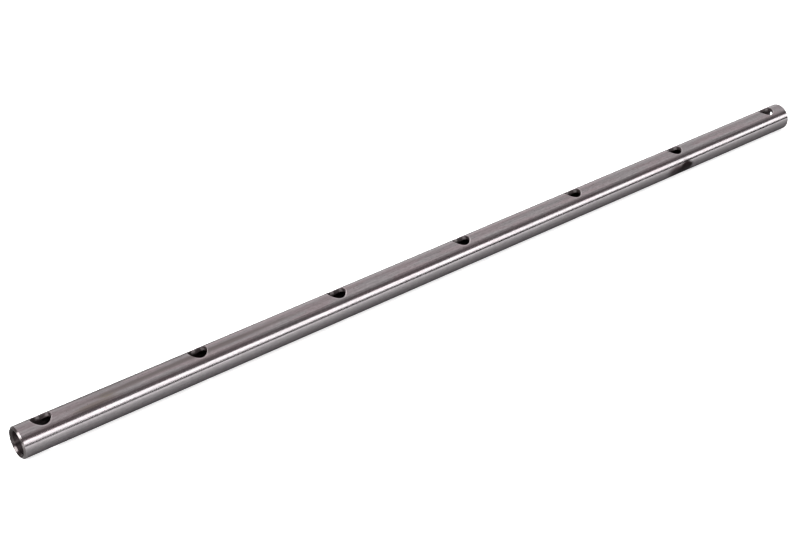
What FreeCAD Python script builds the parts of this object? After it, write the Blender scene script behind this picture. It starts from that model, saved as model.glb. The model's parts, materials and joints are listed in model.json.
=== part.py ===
import FreeCAD, Part
import os

from FreeCAD import Placement, Rotation, Vector

# Rocker shaft of a six-cylinder engine with overhead valves, in millimetres.
# One hollow ground steel shaft. Seven bolts pass straight through it into the rocker stands, and the
# rockers turn on the round outside between them. Oil runs along the gallery and out to each rocker.
# Frame: the origin is on the shaft's axis at mid-length, +X runs along it, +Z is the way the bolts leave.

# Shaft
SHAFT_DIA = 25.0            # ground outside, the journal of every rocker
GALLERY_DIA = 18.0          # oil gallery, bored from end to end
END_CHAMFER = 1.2           # 45 degrees, outside edge of each end
GALLERY_CHAMFER = 1.6       # 45 degrees, mouth of the gallery

# Bolt holes, straight through both walls
CYLINDER_PITCH = 130.0      # from one bolt hole to the next
BAY_COUNT = 6               # one bay between bolt holes for each cylinder
END_MARGIN = 21.0           # from the last bolt hole's centre to the end face
BOLT_HOLE_DIA = 15.0
BOLT_RIM_CHAMFER = 0.4      # follows the curved rim on the outside of the shaft

# Oil holes, through the lower wall only, under the middle of each rocker
ROCKER_OFFSET = 30.0        # from a bay's middle to its two rockers
OIL_HOLE_DIA = 3.0
OIL_RIM_CHAMFER = 0.3

# What follows from them
SHAFT_R = SHAFT_DIA / 2
GALLERY_R = GALLERY_DIA / 2
BOLTED_LENGTH = CYLINDER_PITCH * BAY_COUNT
HALF_LENGTH = BOLTED_LENGTH / 2 + END_MARGIN
BOLT_X = [CYLINDER_PITCH * i - BOLTED_LENGTH / 2 for i in range(BAY_COUNT + 1)]
BAY_X = [(left + right) / 2 for left, right in zip(BOLT_X, BOLT_X[1:])]
OIL_X = [middle + way * ROCKER_OFFSET for middle in BAY_X for way in (-1, 1)]
DRILL_REACH = SHAFT_DIA     # a drill's length each way from the axis, clear of the far side
ON_SURFACE = 0.001          # how near a point must be to count as on a surface


def turned_blank():
    """The shaft before drilling. Its outside and gallery are turned bay by bay, with a line at each bolt hole."""
    outside = [(-HALF_LENGTH, SHAFT_R - END_CHAMFER), (-HALF_LENGTH + END_CHAMFER, SHAFT_R)]
    outside += [(x, SHAFT_R) for x in BOLT_X]
    outside += [(HALF_LENGTH - END_CHAMFER, SHAFT_R), (HALF_LENGTH, SHAFT_R - END_CHAMFER)]
    gallery = [(HALF_LENGTH, GALLERY_R + GALLERY_CHAMFER), (HALF_LENGTH - GALLERY_CHAMFER, GALLERY_R)]
    gallery += [(x, GALLERY_R) for x in reversed(BOLT_X)]
    gallery += [(-HALF_LENGTH + GALLERY_CHAMFER, GALLERY_R), (-HALF_LENGTH, GALLERY_R + GALLERY_CHAMFER)]
    outline = [Vector(x, radius, 0) for x, radius in outside + gallery]
    profile = Part.Face(Part.makePolygon(outline + outline[:1]))
    return profile.revolve(Vector(0, 0, 0), Vector(1, 0, 0), 360)


def drill(x, diameter, bottom, top):
    """An upright drill at x. Its seam faces +Y, where the line between two bays meets the hole."""
    tool = Part.makeCylinder(diameter / 2, top - bottom)
    tool.Placement = Placement(Vector(x, 0, bottom), Rotation(Vector(0, 0, 1), 90))
    return tool


def on_rim(point, x, diameter, side):
    """Is the point where the hole at x meets the outside of the shaft, above (1) or below (-1)?"""
    in_hole = abs((point.x - x) ** 2 + point.y ** 2 - (diameter / 2) ** 2) < ON_SURFACE * diameter
    on_shaft = abs(point.y ** 2 + point.z ** 2 - SHAFT_R ** 2) < ON_SURFACE * SHAFT_DIA
    return in_hole and on_shaft and point.z * side > 0


def rim_edges(shape, holes, diameter, sides):
    """The edges round the outer rims of the holes at these places."""
    found = []
    for edge in shape.Edges:
        span = edge.LastParameter - edge.FirstParameter
        points = [edge.valueAt(edge.FirstParameter + share * span) for share in (0.1, 0.5, 0.9)]
        for x in holes:
            if any(all(on_rim(p, x, diameter, side) for p in points) for side in sides):
                found.append(edge)
    return found


def rocker_shaft():
    bolt_drills = [drill(x, BOLT_HOLE_DIA, -DRILL_REACH, DRILL_REACH) for x in BOLT_X]
    oil_drills = [drill(x, OIL_HOLE_DIA, -DRILL_REACH, 0) for x in OIL_X]
    shaft = turned_blank().cut(bolt_drills + oil_drills).Solids[0]
    bolt_rims = rim_edges(shaft, BOLT_X, BOLT_HOLE_DIA, (1, -1))
    shaft = shaft.makeChamfer(BOLT_RIM_CHAMFER, bolt_rims).Solids[0]
    oil_rims = rim_edges(shaft, OIL_X, OIL_HOLE_DIA, (-1,))
    return shaft.makeChamfer(OIL_RIM_CHAMFER, oil_rims).Solids[0]


os.makedirs("parts", exist_ok=True)
rocker_shaft().exportStep("parts/rocker_shaft.step")
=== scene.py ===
import json
import math
from collections import namedtuple

import bmesh
import bpy
import numpy as np
from mathutils import Euler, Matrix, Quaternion, Vector


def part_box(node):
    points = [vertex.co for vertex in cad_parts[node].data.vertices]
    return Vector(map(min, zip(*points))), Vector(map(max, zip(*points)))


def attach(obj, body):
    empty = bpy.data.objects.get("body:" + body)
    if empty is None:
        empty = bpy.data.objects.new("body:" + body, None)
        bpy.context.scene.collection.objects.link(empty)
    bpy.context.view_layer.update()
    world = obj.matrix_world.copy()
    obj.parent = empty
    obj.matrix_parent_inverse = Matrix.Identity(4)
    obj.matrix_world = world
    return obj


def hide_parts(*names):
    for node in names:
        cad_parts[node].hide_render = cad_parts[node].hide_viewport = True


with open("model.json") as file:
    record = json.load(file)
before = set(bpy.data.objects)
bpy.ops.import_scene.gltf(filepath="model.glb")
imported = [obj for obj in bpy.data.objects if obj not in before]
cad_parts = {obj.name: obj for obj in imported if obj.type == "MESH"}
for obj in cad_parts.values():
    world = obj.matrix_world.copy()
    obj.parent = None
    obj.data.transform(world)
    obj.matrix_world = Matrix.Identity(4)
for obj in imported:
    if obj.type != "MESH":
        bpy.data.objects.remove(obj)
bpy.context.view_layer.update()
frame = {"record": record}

# Rocker shaft: one hollow ground steel shaft along X with seven upright bolt holes through both walls and
# an oil hole under each rocker. Lengths are metres; MM turns a size in millimetres to metres.
MM = 0.001

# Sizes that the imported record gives
MOUNTS = {mount["name"]: mount for mount in frame["record"]["mounts"]}
BOLT_MOUNTS = [mount for name, mount in MOUNTS.items() if name.startswith("bolt_hole")]
SHAFT_R = MOUNTS["journal"]["dims"]["r_mm"] * MM
GALLERY_R = MOUNTS["gallery"]["dims"]["r_mm"] * MM
BOLT_R = BOLT_MOUNTS[0]["dims"]["r_mm"] * MM
BOLT_X = sorted(mount["pos_m"][0] for mount in BOLT_MOUNTS)
HALF_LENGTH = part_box("rocker_shaft")[1].x
END_CHAMFER = HALF_LENGTH - MOUNTS["journal"]["dims"]["length_mm"] * MM / 2
GALLERY_CHAMFER = HALF_LENGTH - MOUNTS["gallery"]["dims"]["length_mm"] * MM / 2
BOLT_CHAMFER = SHAFT_R - BOLT_MOUNTS[0]["dims"]["length_mm"] * MM / 2
PITCH = BOLT_X[1] - BOLT_X[0]
END_MARGIN = HALF_LENGTH - BOLT_X[-1]

# Oil holes, which are no mounts
OIL_R = 1.5 * MM
OIL_CHAMFER = 0.3 * MM
ROCKER_OFFSET = 30 * MM     # from a bay's middle to its two oil holes
OIL_FROM_BOLT = PITCH / 2 - ROCKER_OFFSET


def on_outside(x_mm, degrees):
    """A place on the shaft's outside, so far along and so many degrees from the top towards the front, -Y."""
    turn = math.radians(degrees)
    return (x_mm * MM, -SHAFT_R * math.sin(turn), SHAFT_R * math.cos(turn))


# How finely the shaft's mesh is divided
TURN_ROWS = 64              # cells round the shaft
ROW_ANGLE = 2 * math.pi / TURN_ROWS
BOLT_CELLS = 32             # cells along each side of a bolt hole's window
BOLT_WINDOW = 16 * MM       # half the window's length along the shaft
OIL_CELLS = 8
OIL_WINDOW = 4 * MM
WINDOW_RINGS = 8            # rings of cells from a hole's rim to its window's edge
WALL_RINGS = 3              # rings of cells down a hole's wall
MERGE_DISTANCE = 0.02 * MM  # corners of neighbouring cells that are nearer than this become one

# Patterns of the finish, each with the length, width and height of its features. The marks and the grain are
# coarser than real ones, which are too fine for the render to show.
MARK_SIZE = (45 * MM, 0.9 * MM, 0.9 * MM)       # marks along the shaft
MARK_DEPTH = 0.0015 * MM
PATCH_SIZE = (35 * MM, 5 * MM, 5 * MM)          # patches of the oil film
SPECK_SIZE = (1.6 * MM, 1.6 * MM, 1.6 * MM)     # noise whose peaks are specks of dirt and rust, under 1 mm
GRAIN_SIZE = (3.2 * MM, 1.2 * MM, 1.2 * MM)

# Darker patches on the outside: centre, reach along, across and up, colour, and how much of the reach
# is solid. The first three are faint old stains near the first end, and the fourth is a long darker band
# on the upper back side there. The last three make the dark smudge under the sixth hole.
DARK_PATCHES = (
    (on_outside(-340, 24), (9 * MM, 2.8 * MM, 2.8 * MM), "#A99F8C", 0.3),
    (on_outside(-352, 42), (26 * MM, 3.0 * MM, 3.0 * MM), "#A09592", 0.3),
    (on_outside(-275, 22), (150 * MM, 3.0 * MM, 3.0 * MM), "#9B9292", 0.3),
    # A long darker band on the upper back side near the first end
    (on_outside(-325, -18), (165 * MM, 4.5 * MM, 4.5 * MM), "#7E7677", 0.3),
    (on_outside(253, 110), (17 * MM, 14.0 * MM, 8.8 * MM), "#645759", 0.35),
    (on_outside(259, 124), (11 * MM, 12.0 * MM, 8.0 * MM), "#2A2021", 0.4),
    (on_outside(265, 103), (10 * MM, 14.0 * MM, 7.8 * MM), "#2A2021", 0.55),
)
STAIN_AND_LIGHT_RAGGED = 0.9          # how far the noise moves the edge of a stain or of a patch of painted light, as a share of its reach

# Painted light in the bolt holes: pale patches on each hole's wall where light falls in, as place from its
# centre, reach, and strength
PAINTED_LIGHT_PATCHES = (
    ((6.6 * MM, 3.6 * MM, 9.6 * MM), (2.4 * MM, 2.4 * MM, 2.6 * MM), 0.8),
    ((0.2 * MM, 7.5 * MM, 8.2 * MM), (2.6 * MM, 1.8 * MM, 2.2 * MM), 1.0),
)
PAINTED_LIGHT_SOLID = 0.3             # how much of the reach of a patch of painted light is solid

# Stage
TABLE_HALF = 15
BACKDROP_RADIUS = 14
BACKDROP_HEIGHT = 12
BACKDROP_SIDES = 64
CARD_HALF_LENGTH = 3.0
CARD_FRONT = -0.45
CARD_BACK = 3.0
CARD_OVER_TABLE = 0.3 * MM

# The photograph's camera, fitted to the shaft's outline, its near end's ellipse and its seven bolt holes
CAMERA_PLACE = (-0.72216, -0.90333, 0.56446)
CAMERA_TURN = (63.5399, 4.559, -38.2834)        # degrees about X, Y and Z
CAMERA_SENSOR_MM = 36
CAMERA_LENS_MM = 68.4816

Hole = namedtuple("Hole", "x radius chamfer turn cells window")
Where = namedtuple("Where", "place radius in_hole ground turned drilled deburred upper")


def round_point(radius, x, angle):
    """A point on a cylinder about the shaft's axis. Angle 0 is up, and it grows towards +Y."""
    return Vector((x, radius * math.sin(angle), radius * math.cos(angle)))


def window_edge(hole):
    """The cell corners round a hole's window, as (x, angle) from its centre, with their places on the rim."""
    edge = []
    reach = hole.cells * ROW_ANGLE / 2
    for side in range(4):
        for step in range(hole.cells):
            along = 2 * step / hole.cells - 1
            x, angle = ((1, along), (-along, 1), (-1, -along), (along, -1))[side]
            place = math.radians(90) * (side - 0.5 + step / hole.cells)
            edge.append((x * hole.window, angle * reach, place))
    return edge


def rim_on_round(hole, radius, place, setback):
    """Where a drill meets a cylinder about the shaft, set back along that cylinder, as (x, angle)."""
    across = hole.radius * math.sin(place) / radius
    run_x = -hole.radius * math.sin(place)
    run_arc = hole.radius * math.cos(place) / math.sqrt(1 - across ** 2)
    run = math.hypot(run_x, run_arc)
    x = hole.radius * math.cos(place) + setback * run_arc / run
    return x, math.asin(across) - setback * run_x / run / radius


def wall_below_rim(hole, place, setback):
    """A point on the drilled wall, set back along it from the outer rim, as (place, height over the axis)."""
    height = math.sqrt(SHAFT_R ** 2 - (hole.radius * math.sin(place)) ** 2)
    slope = -hole.radius ** 2 * math.sin(place) * math.cos(place) / height
    run = math.hypot(hole.radius, slope)
    return place + setback * slope / run / hole.radius, height - setback * hole.radius / run


def drilled_point(hole, place, height):
    """A point on a hole's wall. A hole that turns away from the top has it in the lower wall."""
    point = Vector((hole.x, hole.radius * math.sin(place), height))
    point.x += hole.radius * math.cos(place)
    return point if hole.turn == 0 else Vector((point.x, -point.y, -point.z))


def ring_faces(mesh, rings):
    """Quads between closed rings of points."""
    made = [[mesh.verts.new(point) for point in ring] for ring in rings]
    for lower, upper in zip(made, made[1:]):
        for i in range(len(lower)):
            after = (i + 1) % len(lower)
            mesh.faces.new((lower[i], lower[after], upper[after], upper[i]))


def between(first, last, share):
    return tuple(a + (b - a) * share for a, b in zip(first, last))


def add_drilled_window(mesh, hole):
    """The outside and the gallery round one hole, its chamfer and its wall."""
    edge = window_edge(hole)
    for radius, setback in ((SHAFT_R, hole.chamfer), (GALLERY_R, 0)):
        rings = []
        for ring in range(WINDOW_RINGS + 1):
            share = ring / WINDOW_RINGS
            points = []
            for x, angle, place in edge:
                x, angle = between(rim_on_round(hole, radius, place, setback), (x, angle), share)
                points.append(round_point(radius, hole.x + x, hole.turn + angle))
            rings.append(points)
        ring_faces(mesh, rings)
    top, chamfer_foot, bottom = [], [], []
    for _, _, place in edge:
        x, angle = rim_on_round(hole, SHAFT_R, place, hole.chamfer)
        top.append(round_point(SHAFT_R, hole.x + x, hole.turn + angle))
        chamfer_foot.append(wall_below_rim(hole, place, hole.chamfer))
        bottom.append((place, math.sqrt(GALLERY_R ** 2 - (hole.radius * math.sin(place)) ** 2)))
    wall = []
    for ring in range(WALL_RINGS + 1):
        spots = [between(foot, low, ring / WALL_RINGS) for foot, low in zip(chamfer_foot, bottom)]
        wall.append([drilled_point(hole, *spot) for spot in spots])
    ring_faces(mesh, [top] + wall)


def window_columns(hole):
    return [hole.x + hole.window * (2 * i / hole.cells - 1) for i in range(hole.cells + 1)]


def in_window(hole, x, angle):
    beside = (angle - hole.turn + math.pi) % (2 * math.pi) - math.pi
    return abs(x - hole.x) < hole.window and abs(beside) < hole.cells * ROW_ANGLE / 2


def add_round(mesh, radius, ends, holes):
    """A cylinder about the shaft's axis from end to end, left open at the windows of its holes."""
    digits = 7              # so that columns of two windows at one place count once
    columns = sorted({round(x, digits) for hole in holes for x in window_columns(hole)} | set(ends))
    for left, right in zip(columns, columns[1:]):
        for row in range(TURN_ROWS):
            angles = [(row + k) * ROW_ANGLE - math.pi / 2 for k in (0, 1)]
            if any(in_window(hole, (left + right) / 2, sum(angles) / 2) for hole in holes):
                continue
            corners = ((left, angles[0]), (right, angles[0]), (right, angles[1]), (left, angles[1]))
            mesh.faces.new([mesh.verts.new(round_point(radius, *corner)) for corner in corners])


def bolt_holes():
    """A station's bolt hole, drilled from above and through the lower wall."""
    return [Hole(0, BOLT_R, BOLT_CHAMFER, turn, BOLT_CELLS, BOLT_WINDOW) for turn in (0, math.pi)]


def oil_hole(x):
    return Hole(x, OIL_R, OIL_CHAMFER, math.pi, OIL_CELLS, OIL_WINDOW)


def mesh_object(name, mesh):
    data = bpy.data.meshes.new(name)
    mesh.to_mesh(data)
    mesh.free()
    made = bpy.data.objects.new(name, data)
    bpy.context.collection.objects.link(made)
    return made


def middle_station():
    """One cylinder pitch of the shaft, with its bolt hole in the middle and an oil hole to each side."""
    mesh = bmesh.new()
    holes = bolt_holes() + [oil_hole(-OIL_FROM_BOLT), oil_hole(OIL_FROM_BOLT)]
    for radius in (SHAFT_R, GALLERY_R):
        add_round(mesh, radius, (-PITCH / 2, PITCH / 2), holes)
    for hole in holes:
        add_drilled_window(mesh, hole)
    return mesh_object("middle_station", mesh)


def end_station():
    """The shaft from its first end to half a pitch past its first bolt hole, with the end's two chamfers."""
    mesh = bmesh.new()
    holes = bolt_holes() + [oil_hole(OIL_FROM_BOLT)]
    add_round(mesh, SHAFT_R, (-END_MARGIN + END_CHAMFER, PITCH / 2), holes)
    add_round(mesh, GALLERY_R, (-END_MARGIN + GALLERY_CHAMFER, PITCH / 2), holes)
    for hole in holes:
        add_drilled_window(mesh, hole)
    profile = (
        (-END_MARGIN + END_CHAMFER, SHAFT_R),
        (-END_MARGIN, SHAFT_R - END_CHAMFER),
        (-END_MARGIN, GALLERY_R + GALLERY_CHAMFER),
        (-END_MARGIN + GALLERY_CHAMFER, GALLERY_R),
    )
    turns = [row * ROW_ANGLE - math.pi / 2 for row in range(TURN_ROWS)]
    ring_faces(mesh, [[round_point(radius, x, turn) for turn in turns] for x, radius in profile])
    return mesh_object("end_station", mesh)


def node(tree, kind, links=None, **settings):
    """Adds a node with its settings. An input that is given a socket is linked, and a plain value is set."""
    made = tree.nodes.new(kind)
    for name, value in settings.items():
        setattr(made, name, value)
    for socket, value in (links or {}).items():
        if isinstance(value, bpy.types.NodeSocket):
            tree.links.new(value, made.inputs[socket])
        else:
            made.inputs[socket].default_value = value
    return made


def maths(tree, operation, *values):
    return node(tree, "ShaderNodeMath", dict(enumerate(values)), operation=operation).outputs[0]


def vector_maths(tree, operation, *values):
    return node(tree, "ShaderNodeVectorMath", dict(enumerate(values)), operation=operation).outputs[0]


def length_of(tree, vector):
    return node(tree, "ShaderNodeVectorMath", {0: vector}, operation="LENGTH").outputs["Value"]


def station_tree():
    """Geometry Nodes that set the middle stations one pitch apart and close the row with an end each way."""
    tree = bpy.data.node_groups.new("shaft_from_stations", "GeometryNodeTree")
    sockets = (
        ("Middle Station", "NodeSocketObject"),
        ("End Station", "NodeSocketObject"),
        ("Bolt Holes", "NodeSocketInt"),
        ("Pitch", "NodeSocketFloat"),
        ("Merge Distance", "NodeSocketFloat"),
        ("Finish", "NodeSocketMaterial"),
    )
    for name, kind in sockets:
        tree.interface.new_socket(name, in_out="INPUT", socket_type=kind)
    tree.interface.new_socket("Shaft", in_out="OUTPUT", socket_type="NodeSocketGeometry")
    given = tree.nodes.new("NodeGroupInput").outputs
    pitch = given["Pitch"]

    # The middle stations, in a row about the origin
    middles = maths(tree, "SUBTRACT", given["Bolt Holes"], 2)
    gaps = maths(tree, "SUBTRACT", middles, 1)
    first_x = maths(tree, "MULTIPLY", maths(tree, "MULTIPLY", gaps, pitch), -0.5)
    start = node(tree, "ShaderNodeCombineXYZ", {"X": first_x}).outputs[0]
    step = node(tree, "ShaderNodeCombineXYZ", {"X": pitch}).outputs[0]
    line = {"Count": middles, "Start Location": start, "Offset": step}
    row = node(tree, "GeometryNodeMeshLine", line, mode="OFFSET").outputs[0]
    middle = node(tree, "GeometryNodeObjectInfo", {"Object": given["Middle Station"]}).outputs["Geometry"]
    stations = node(tree, "GeometryNodeInstanceOnPoints", {"Points": row, "Instance": middle}).outputs[0]

    # An end one pitch before them, and the same end turned round one pitch after them
    end_place = node(tree, "ShaderNodeCombineXYZ", {"X": maths(tree, "SUBTRACT", first_x, pitch)}).outputs[0]
    end = node(tree, "GeometryNodeObjectInfo", {"Object": given["End Station"]}).outputs["Geometry"]
    first_end = node(tree, "GeometryNodeTransform", {"Geometry": end, "Translation": end_place}).outputs[0]
    half_turn = (0, 0, math.pi)
    last_end = node(tree, "GeometryNodeTransform", {"Geometry": first_end, "Rotation": half_turn}).outputs[0]

    # One closed shaft
    joined = node(tree, "GeometryNodeJoinGeometry")
    for part in (last_end, first_end, stations):
        tree.links.new(part, joined.inputs[0])
    real = node(tree, "GeometryNodeRealizeInstances", {0: joined.outputs[0]}).outputs[0]
    near = {0: real, "Distance": given["Merge Distance"]}
    merged = node(tree, "GeometryNodeMergeByDistance", near).outputs[0]
    finished = node(tree, "GeometryNodeSetMaterial", {0: merged, "Material": given["Finish"]}).outputs[0]
    tree.links.new(finished, tree.nodes.new("NodeGroupOutput").inputs[0])
    return tree


def set_inputs(modifier, **values):
    """Sets a Geometry Nodes modifier's inputs by their sockets' identifiers."""
    for item in modifier.node_group.interface.items_tree:
        if item.item_type == "SOCKET" and item.in_out == "INPUT":
            modifier[item.identifier] = values[item.name.replace(" ", "_").lower()]


def unit_rows(rows):
    return rows / np.linalg.norm(rows, axis=1)[:, None]


def set_true_normals(data):
    """Gives each face corner the normal of the surface it lies on, so that round walls reflect as round."""
    corner_of = np.empty(len(data.loops), int)
    data.loops.foreach_get("vertex_index", corner_of)
    points = np.empty(len(data.vertices) * 3)
    data.vertices.foreach_get("co", points)
    points = points.reshape(-1, 3)[corner_of]
    faces = np.empty(len(data.polygons) * 3)
    data.polygons.foreach_get("normal", faces)
    sides = np.empty(len(data.polygons), int)
    data.polygons.foreach_get("loop_total", sides)
    faces = np.repeat(faces.reshape(-1, 3), sides, axis=0)

    # The outside and the gallery, each hole's wall and chamfer, and each end's face and chamfers
    out = unit_rows(points * (0, 1, 1))
    surfaces = [out, -out]
    bolts = np.array(BOLT_X)
    oil = np.concatenate((bolts[:-1] + OIL_FROM_BOLT, bolts[1:] - OIL_FROM_BOLT))
    tiny = 1e-9             # keeps a corner on a hole's axis from dividing by zero
    for holes in (bolts, oil):
        nearest = holes[np.abs(points[:, :1] - holes).argmin(axis=1)]
        to_axis = np.stack((nearest - points[:, 0], -points[:, 1], np.zeros(len(points))), axis=1)
        to_axis = unit_rows(to_axis + tiny)
        surfaces += [to_axis, unit_rows(out + to_axis)]
    for way in (-1, 1):
        along = np.tile((way, 0.0, 0.0), (len(points), 1))
        surfaces += [along, unit_rows(along + out), unit_rows(along - out)]

    # Each corner takes the one that its face's own normal is nearest to
    matches = np.stack([(surface * faces).sum(axis=1) for surface in surfaces])
    best = matches.argmax(axis=0)
    normals = np.stack(surfaces)[best, np.arange(len(points))]
    data.polygons.foreach_set("use_smooth", [True] * len(data.polygons))
    data.normals_split_custom_set(normals.tolist())


def rocker_shaft(finish):
    """The whole shaft as one closed mesh, from its stations."""
    middle, end = middle_station(), end_station()
    carrier = mesh_object("rocker_shaft_stations", bmesh.new())
    modifier = carrier.modifiers.new("stations", "NODES")
    modifier.node_group = station_tree()
    set_inputs(
        modifier,
        middle_station=middle,
        end_station=end,
        bolt_holes=len(BOLT_X),
        pitch=PITCH,
        merge_distance=MERGE_DISTANCE,
        finish=finish,
    )
    view = bpy.context.evaluated_depsgraph_get()
    data = bpy.data.meshes.new_from_object(carrier.evaluated_get(view), depsgraph=view)
    for used in (middle, end, carrier):
        bpy.data.objects.remove(used)
    closed = bmesh.new()
    closed.from_mesh(data)
    bmesh.ops.recalc_face_normals(closed, faces=closed.faces)
    open_edges = [edge for edge in closed.edges if len(edge.link_faces) != 2]
    print("shaft mesh:", len(closed.faces), "faces,", len(open_edges), "open edges")
    closed.to_mesh(data)
    closed.free()
    data.name = "ground_shaft"
    set_true_normals(data)
    shaft = bpy.data.objects.new("ground_shaft", data)
    bpy.context.collection.objects.link(shaft)
    return shaft


def linear(hex_colour):
    """An sRGB hex colour as linear RGBA."""
    channels = [int(hex_colour[i:i + 2], 16) / 255 for i in (1, 3, 5)]
    return [c / 12.92 if c <= 0.04045 else ((c + 0.055) / 1.055) ** 2.4 for c in channels] + [1.0]


def new_material(name):
    material = bpy.data.materials.new(name)
    material.use_nodes = True
    material.node_tree.nodes.clear()
    return material, material.node_tree


def remap(tree, value, start, stop, low=0.0, high=1.0, blend="LINEAR"):
    """Low where the value is at the start, high where it is at the stop, and blended between them."""
    ends = {"Value": value, "From Min": start, "From Max": stop, "To Min": low, "To Max": high}
    return node(tree, "ShaderNodeMapRange", ends, interpolation_type=blend).outputs[0]


def mix_colour(tree, share, first, second):
    """The first colour at share 0 and the second at 1. Each is a socket or an sRGB hex colour."""
    first, second = [linear(end) if isinstance(end, str) else end for end in (first, second)]
    return node(tree, "ShaderNodeMix", {0: share, 6: first, 7: second}, data_type="RGBA").outputs[2]


def mix_value(tree, share, first, second):
    return node(tree, "ShaderNodeMix", {0: share, 2: first, 3: second}, data_type="FLOAT").outputs[0]


def noise(tree, place, size, detail):
    """Noise with features of about this size along, across and up."""
    at = vector_maths(tree, "MULTIPLY", place, [1 / length for length in size])
    return node(tree, "ShaderNodeTexNoise", {"Vector": at, "Scale": 1.0, "Detail": detail}).outputs[0]


def stain_and_light_patch(tree, place, centre, reach, solid, ragged):
    """A mask for a stain or a patch of painted light: 1 over the solid share of its reach, fading to 0 at
    the reach's ragged edge.
    """
    shares = vector_maths(tree, "DIVIDE", vector_maths(tree, "SUBTRACT", place, centre), reach)
    uneven = maths(tree, "MULTIPLY_ADD", ragged, STAIN_AND_LIGHT_RAGGED, -STAIN_AND_LIGHT_RAGGED / 2)
    edge = maths(tree, "ADD", length_of(tree, shares), uneven)
    return remap(tree, edge, 1.0, solid, blend="SMOOTHSTEP")


def steel_places(tree):
    """Where a point of the steel is, also from its bolt hole's centre, and masks for its kinds of surface."""
    place = node(tree, "ShaderNodeTexCoord").outputs["Object"]
    along, sideways, upwards = node(tree, "ShaderNodeSeparateXYZ", {0: place}).outputs
    radius = length_of(tree, vector_maths(tree, "MULTIPLY", place, (0, 1, 1)))
    from_bolt = maths(tree, "WRAP", along, PITCH / 2, -PITCH / 2)
    in_hole = node(tree, "ShaderNodeCombineXYZ", {"X": from_bolt, "Y": sideways, "Z": upwards}).outputs[0]
    in_plan = node(tree, "ShaderNodeCombineXYZ", {"X": from_bolt, "Y": sideways}).outputs[0]
    mouth = HALF_LENGTH - GALLERY_CHAMFER
    rim = BOLT_R + BOLT_CHAMFER
    return Where(
        place=place,
        radius=radius,
        in_hole=in_hole,
        ground=remap(tree, radius, SHAFT_R - 0.25 * MM, SHAFT_R - 0.1 * MM),
        turned=remap(tree, maths(tree, "ABSOLUTE", along), mouth - 0.3 * MM, mouth),
        drilled=remap(tree, radius, GALLERY_R + 0.1 * MM, GALLERY_R + 0.4 * MM),
        deburred=remap(tree, length_of(tree, in_plan), rim + 0.9 * MM, rim + 0.4 * MM),
        upper=remap(tree, upwards, 2 * MM, 9 * MM),
    )


def outside_colour(tree, where, marks, patches, specks):
    """Bright ground steel with a film of oil on its upper side and a brighter ring round each bolt hole,
    where the rim was deburred. Marks and grain vary it, and specks of dirt, old stains and a darker band
    near the first end lie over it."""
    film = maths(tree, "MULTIPLY", remap(tree, patches, 0.4, 0.62, blend="SMOOTHSTEP"), where.upper)
    filmed = mix_colour(tree, film, "#BCB7B9", "#BEB2B5")
    marked = remap(tree, marks, 0.25, 0.75, low=0.86, high=1.08)
    grain = noise(tree, where.place, GRAIN_SIZE, detail=2.0)
    grained = remap(tree, grain, 0.3, 0.7, low=0.91, high=1.09)
    ring_brighter = 0.32
    ringed = maths(tree, "MULTIPLY_ADD", where.deburred, ring_brighter, 1.0)
    shade = maths(tree, "MULTIPLY", maths(tree, "MULTIPLY", marked, grained), ringed)
    shaded = node(tree, "ShaderNodeVectorMath", {0: filmed, "Scale": shade}, operation="SCALE").outputs[0]
    colour = mix_colour(tree, remap(tree, specks, 0.68, 0.78), shaded, "#7C7072")
    for centre, reach, patch_colour, solid in DARK_PATCHES:
        mask = stain_and_light_patch(tree, where.place, centre, reach, solid, patches)
        colour = mix_colour(tree, mask, colour, patch_colour)
    return colour


def painted_light_mask(tree, where, specks):
    """How strongly the pale patches of painted light lie on the drilled walls."""
    painted_light = 0.0
    for centre, reach, strength in PAINTED_LIGHT_PATCHES:
        mask = stain_and_light_patch(tree, where.in_hole, centre, reach, PAINTED_LIGHT_SOLID, specks)
        painted_light = maths(tree, "MAXIMUM", painted_light, maths(tree, "MULTIPLY", mask, strength))
    return maths(tree, "MULTIPLY", painted_light, where.drilled)


def inside_colour(tree, where, painted_light):
    """Dark in the gallery, lighter on the drilled walls with pale patches of painted light on them, grey on
    the ends.
    """
    bored = mix_colour(tree, where.drilled, "#8A8082", "#9E9496")
    # Painted light: pale patches on the drilled walls where light falls in through the holes
    bored = mix_colour(tree, painted_light, bored, "#EAE4E5")
    mouth_edge = GALLERY_R + GALLERY_CHAMFER
    past_mouth = remap(tree, where.radius, mouth_edge - 0.1 * MM, mouth_edge + 0.1 * MM)
    end_face = mix_colour(tree, past_mouth, "#857E7E", "#A9A2A2")
    return mix_colour(tree, where.turned, bored, end_face)


def steel_roughness(tree, where, marks, painted_light):
    """Smooth and streaked outside, smooth on the turned ends, duller in the gallery, dullest in the holes."""
    outside = remap(tree, marks, 0.3, 0.7, low=0.2, high=0.12)
    # The walls are rougher under the patches of painted light
    drilled = remap(tree, painted_light, 0.0, 1.0, low=0.5, high=0.75)
    bored = mix_value(tree, where.drilled, 0.32, drilled)
    inside = mix_value(tree, where.turned, bored, 0.2)
    return mix_value(tree, where.ground, inside, outside)


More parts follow.
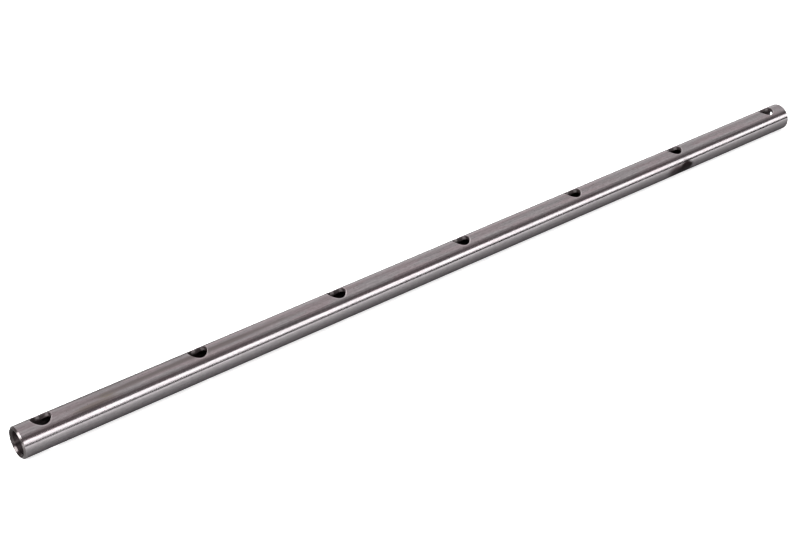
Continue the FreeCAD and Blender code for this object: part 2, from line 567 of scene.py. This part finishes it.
def ground_steel():
    """Hardened steel, ground outside, turned at its ends and bored inside.

    The ground outside mirrors the room in long bands that fine marks along the shaft break up, under a thin
    uneven film of old oil. The bored inside is darker and duller, and the turned ends lie between the two.
    Turning marks round the gallery draw its highlights out along it.
    """
    material, tree = new_material("ground_steel")
    where = steel_places(tree)
    marks = noise(tree, where.place, MARK_SIZE, detail=3.0)
    patches = noise(tree, where.place, PATCH_SIZE, detail=4.0)
    specks = noise(tree, where.place, SPECK_SIZE, detail=2.0)
    # Pale patches of painted light on the drilled walls of the bolt holes
    painted_light = painted_light_mask(tree, where, specks)
    inside = inside_colour(tree, where, painted_light)
    outside = outside_colour(tree, where, marks, patches, specks)
    shader = node(
        tree,
        "ShaderNodeBsdfPrincipled",
        {
            "Base Color": mix_colour(tree, where.ground, inside, outside),
            "Metallic": 1.0,
            "Roughness": steel_roughness(tree, where, marks, painted_light),
            "Normal": node(tree, "ShaderNodeBump", {"Height": marks, "Distance": MARK_DEPTH}).outputs[0],
            "Anisotropic": remap(tree, where.drilled, 0.0, 1.0, low=0.9, high=0.0),
            "Anisotropic Rotation": 0.25,
            "Tangent": node(tree, "ShaderNodeTangent", direction_type="RADIAL", axis="X").outputs[0],
        },
    )
    node(tree, "ShaderNodeOutputMaterial", {"Surface": shader.outputs[0]})
    return material


def table_paint():
    """Matt white that glows a little, so that shadows on it stay pale."""
    material, tree = new_material("matt_white_table")
    paint = {
        "Base Color": linear("#F4F4F4"),
        "Roughness": 0.9,
        "Emission Color": linear("#FFFFFF"),
        "Emission Strength": 0.7,
    }
    shader = node(tree, "ShaderNodeBsdfPrincipled", paint)
    node(tree, "ShaderNodeOutputMaterial", {"Surface": shader.outputs[0]})
    return material


def floor():
    """A plain white table top that the shaft lies on."""
    mesh = bmesh.new()
    bmesh.ops.create_grid(mesh, x_segments=1, y_segments=1, size=TABLE_HALF)
    bmesh.ops.translate(mesh, vec=(0, 0, -SHAFT_R), verts=mesh.verts)
    made = mesh_object("floor", mesh)
    made.data.materials.append(table_paint())


def backdrop():
    """A plain white wall all round, far off, that only the camera sees."""
    mesh = bmesh.new()
    bmesh.ops.create_cone(
        mesh,
        segments=BACKDROP_SIDES,
        radius1=BACKDROP_RADIUS,
        radius2=BACKDROP_RADIUS,
        depth=BACKDROP_HEIGHT,
    )
    made = mesh_object("backdrop", mesh)
    material, tree = new_material("white_backdrop")
    shader = node(tree, "ShaderNodeEmission", {"Color": linear("#FFFFFF"), "Strength": 1.0})
    node(tree, "ShaderNodeOutputMaterial", {"Surface": shader.outputs[0]})
    made.data.materials.append(material)
    made.visible_diffuse = False
    made.visible_glossy = False
    made.visible_shadow = False


def softbox(name, centre, aim, size, radiance, roll=0, mirrored=True):
    """A plain rectangular light that faces a point. Radiance is what a mirror would show of it. A light that
    isn't mirrored lights only the table and the card."""
    width, height = size
    data = bpy.data.lights.new(name, "AREA")
    data.shape = "RECTANGLE"
    data.size = width
    data.size_y = height
    data.energy = radiance * math.pi * width * height
    made = bpy.data.objects.new(name, data)
    bpy.context.collection.objects.link(made)
    made.location = centre
    facing = (Vector(aim) - Vector(centre)).to_track_quat("-Z", "Y")
    made.rotation_euler = (facing @ Quaternion((0, 0, 1), math.radians(roll))).to_euler()
    made.visible_camera = False
    made.visible_glossy = mirrored


def studio():
    """A dim warm room with long plain panels: a bright one low in front, one overhead with a dimmer edge, two
    behind and a short bright one low at the back. A small panel faces the shaft's first end, and the key
    light, high beyond that end, lights the table."""
    world = bpy.data.worlds.new("studio")
    world.use_nodes = True
    world.node_tree.nodes["Background"].inputs["Color"].default_value = linear("#6C6667")
    bpy.context.scene.world = world
    bpy.context.scene.view_settings.view_transform = "Standard"
    softbox("front_strip", centre=(0, -3.0, 0.76), aim=(0, 0, 0.76), size=(13.0, 1.22), radiance=2.1)
    softbox("overhead", centre=(0, -0.34, 2.2), aim=(0, -0.34, 0), size=(12.0, 1.46), radiance=0.46)
    softbox("overhead_edge", centre=(0, -1.46, 2.2), aim=(0, -1.46, 0), size=(12.0, 0.78), radiance=0.2)
    softbox("behind", centre=(2.3, 2.2, 1.175), aim=(2.3, 1.706, 0.305), size=(7.4, 4.15), radiance=0.38)
    softbox("behind_low", centre=(2.2, 4.3, 1.6), aim=(2.2, 0, 1.6), size=(7.6, 3.0), radiance=0.14)
    softbox("back_strip", centre=(-0.45, 3.0, 0.8), aim=(-0.45, 0, 0.8), size=(1.7, 1.1), radiance=2.1)
    end = (-0.41, 0, 0)
    softbox("left_end", centre=(-3.08, 0.38, 1.31), aim=end, size=(1.6, 0.4), radiance=3.8, roll=-18)
    softbox("key", centre=(-2.6, -0.4, 3.0), aim=(0, 0, 0), size=(3.2, 3.2), radiance=7.6, mirrored=False)


def card_shades():
    """Grey beside the shaft, white in front of that, then black, and dark behind the shaft."""
    material, tree = new_material("graded_card")
    place = node(tree, "ShaderNodeTexCoord").outputs["Object"]
    along, sideways, _ = node(tree, "ShaderNodeSeparateXYZ", {0: place}).outputs
    grey_to, white_from, black_from = -0.017, -0.06, -0.066
    grey_to_white = remap(tree, sideways, grey_to, white_from, low=0.22, high=0.82)
    black = remap(tree, along, -0.4, 0.15, low=0.12, high=0.012)
    shade = mix_value(tree, maths(tree, "LESS_THAN", sideways, black_from), grey_to_white, black)
    dark = 0.11
    shade = mix_value(tree, maths(tree, "GREATER_THAN", sideways, 0.0), shade, dark)
    shader = node(tree, "ShaderNodeBsdfDiffuse", {"Color": shade})
    node(tree, "ShaderNodeOutputMaterial", {"Surface": shader.outputs[0]})
    return material


def graded_card():
    """A card on the table that only reflections see. Its front part gives the shaft's lower side its soft
    shading, and draws the thin dark line under the white one. Its dark back part darkens the end faces and
    the shaft's upper edge."""
    mesh = bmesh.new()
    left, right = -CARD_HALF_LENGTH, CARD_HALF_LENGTH
    height = -SHAFT_R + CARD_OVER_TABLE
    corners = ((left, CARD_BACK), (left, CARD_FRONT), (right, CARD_FRONT), (right, CARD_BACK))
    mesh.faces.new([mesh.verts.new((x, y, height)) for x, y in corners])
    made = mesh_object("graded_card", mesh)
    made.data.materials.append(card_shades())
    made.visible_camera = False
    made.visible_diffuse = False
    made.visible_shadow = False


def camera():
    """Placed where the photograph was taken from."""
    data = bpy.data.cameras.new("camera")
    data.sensor_width = CAMERA_SENSOR_MM
    data.lens = CAMERA_LENS_MM
    made = bpy.data.objects.new("camera", data)
    bpy.context.collection.objects.link(made)
    made.location = CAMERA_PLACE
    made.rotation_euler = Euler([math.radians(turn) for turn in CAMERA_TURN], "XYZ")
    bpy.context.scene.camera = made


camera()
studio()
floor()
backdrop()
graded_card()
shaft = rocker_shaft(ground_steel())
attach(shaft, "root")
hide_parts("rocker_shaft")
